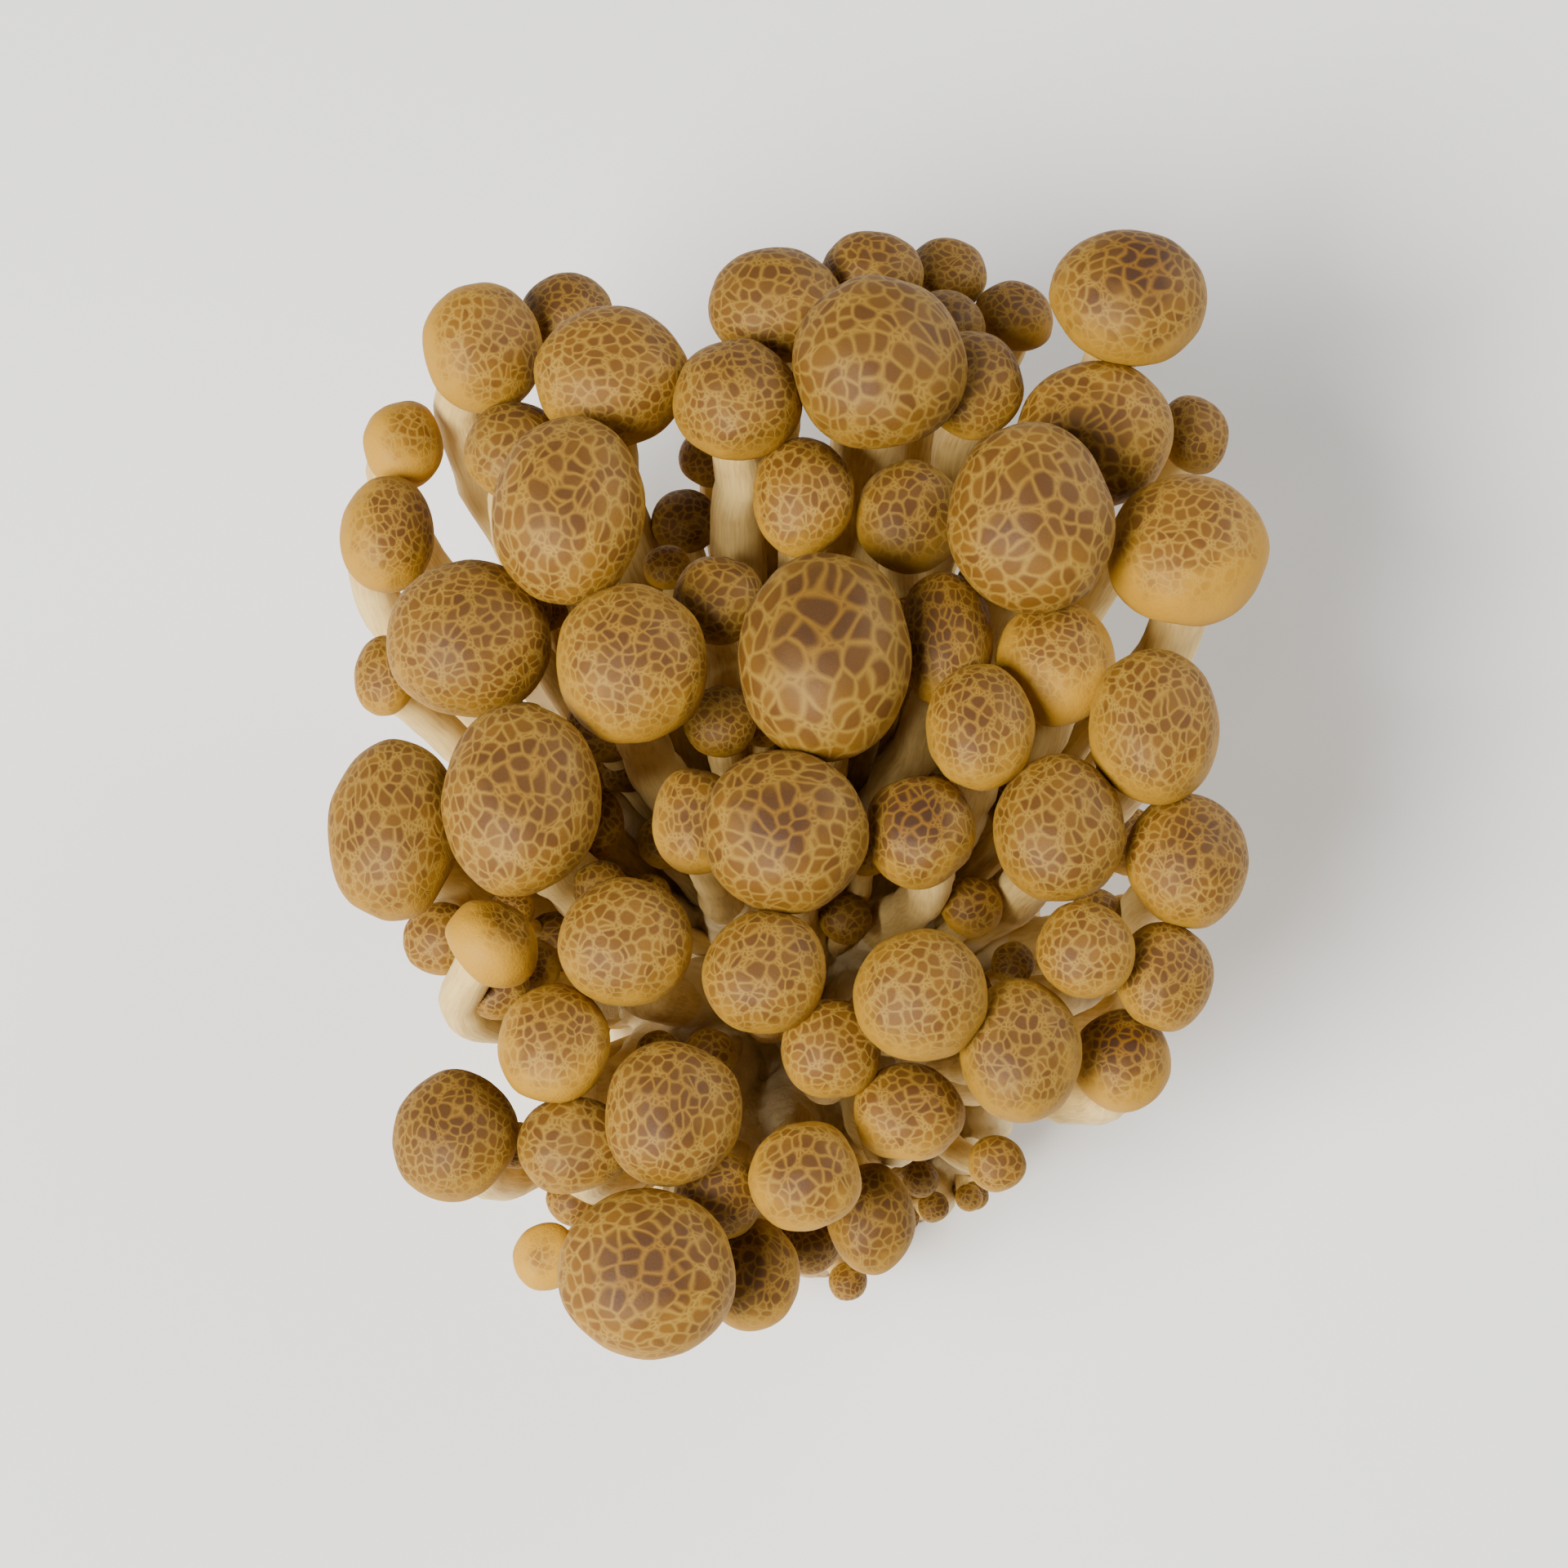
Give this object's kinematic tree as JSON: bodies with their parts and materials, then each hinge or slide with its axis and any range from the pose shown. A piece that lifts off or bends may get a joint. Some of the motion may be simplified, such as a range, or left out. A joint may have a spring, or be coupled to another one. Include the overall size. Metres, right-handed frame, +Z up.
{
  "type": "beech mushroom cluster",
  "caption": "Cluster of brown beech mushrooms: mottled round caps on pale bent stems that share one lumpy base, cut flat so that it stands.",
  "frame": {"origin": "middle of the cluster's bounding box, on the flat cut face of the base, which is the surface it stands on", "axes": "+Z up, away from the cut face towards the caps; +Y along the cluster's longest way across; +X across its shorter way"},
  "size_m": [0.0896, 0.1184, 0.069],
  "materials": {
    "cap_skin": "matte brown skin with a net of thin pale lines, plain ochre at the margin",
    "stem_flesh": "matte ivory with faint lengthwise fibres",
    "gill_flesh": "matte cream, thin close blades",
    "base_flesh": "matte ivory, felted, cut flat below"
  },
  "bodies": {
    "root": {"base": "base_flesh", "mushroom_01": "cap_skin", "mushroom_02": "cap_skin", "mushroom_03": "cap_skin", "mushroom_04": "cap_skin", "mushroom_05": "cap_skin", "mushroom_06": "cap_skin", "mushroom_07": "cap_skin", "mushroom_08": "cap_skin", "mushroom_09": "cap_skin", "mushroom_10": "cap_skin", "mushroom_11": "cap_skin", "mushroom_12": "cap_skin", "mushroom_13": "cap_skin", "mushroom_14": "cap_skin", "mushroom_15": "cap_skin", "mushroom_16": "cap_skin", "mushroom_17": "cap_skin", "mushroom_18": "cap_skin", "mushroom_19": "cap_skin", "mushroom_20": "cap_skin", "mushroom_21": "cap_skin", "mushroom_22": "cap_skin", "mushroom_23": "cap_skin", "mushroom_24": "cap_skin", "mushroom_25": "cap_skin", "mushroom_26": "cap_skin", "mushroom_27": "cap_skin", "mushroom_28": "cap_skin", "mushroom_29": "cap_skin", "mushroom_30": "cap_skin", "mushroom_31": "cap_skin", "mushroom_32": "cap_skin", "mushroom_33": "cap_skin", "mushroom_34": "cap_skin", "mushroom_35": "cap_skin", "mushroom_36": "cap_skin", "mushroom_37": "cap_skin", "mushroom_38": "cap_skin", "mushroom_39": "cap_skin", "mushroom_40": "cap_skin", "mushroom_41": "cap_skin", "mushroom_42": "cap_skin", "mushroom_43": "cap_skin", "mushroom_44": "cap_skin", "mushroom_45": "cap_skin", "mushroom_46": "cap_skin", "mushroom_47": "cap_skin", "mushroom_48": "cap_skin", "mushroom_49": "cap_skin", "mushroom_50": "cap_skin", "mushroom_51": "cap_skin", "mushroom_52": "cap_skin", "mushroom_53": "cap_skin", "mushroom_54": "cap_skin", "mushroom_55": "cap_skin", "mushroom_56": "cap_skin", "mushroom_57": "cap_skin", "mushroom_58": "cap_skin", "mushroom_59": "cap_skin"}
  },
  "joints": []
}
